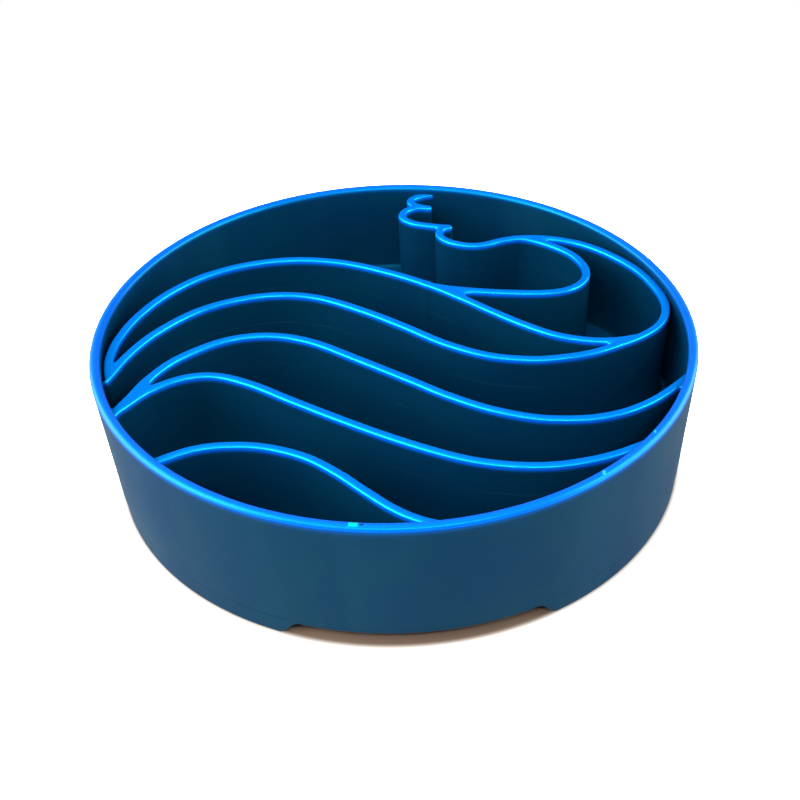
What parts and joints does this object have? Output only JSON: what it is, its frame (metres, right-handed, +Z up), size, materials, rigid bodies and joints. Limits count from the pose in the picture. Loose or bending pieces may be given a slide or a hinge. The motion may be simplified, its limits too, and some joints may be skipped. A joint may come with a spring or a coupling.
{
  "type": "slow feeder bowl",
  "caption": "Round blue plastic slow feeder bowl with tall wave-shaped dividers on a raised floor, a rounded rim and an arched foot.",
  "frame": {"origin": "centre of the foot on the table", "axes": "+Z up, -Y towards the side that the picture shows nearest, +X to the picture's right"},
  "size_m": [0.203, 0.203, 0.051],
  "materials": {
    "bowl_blue": "gloss",
    "wave_blue": "gloss"
  },
  "bodies": {
    "root": {"rim_bead": "bowl_blue", "side_wall": "bowl_blue", "floor_plate": "bowl_blue", "foot_band": "bowl_blue", "crest_neck": "wave_blue", "breaker_back": "wave_blue", "second_swell": "wave_blue", "upper_swell": "wave_blue", "breaker_curl": "wave_blue", "middle_scallop": "wave_blue", "top_scallop": "wave_blue", "third_swell": "wave_blue", "fourth_swell": "wave_blue", "front_swell": "wave_blue"}
  },
  "joints": []
}
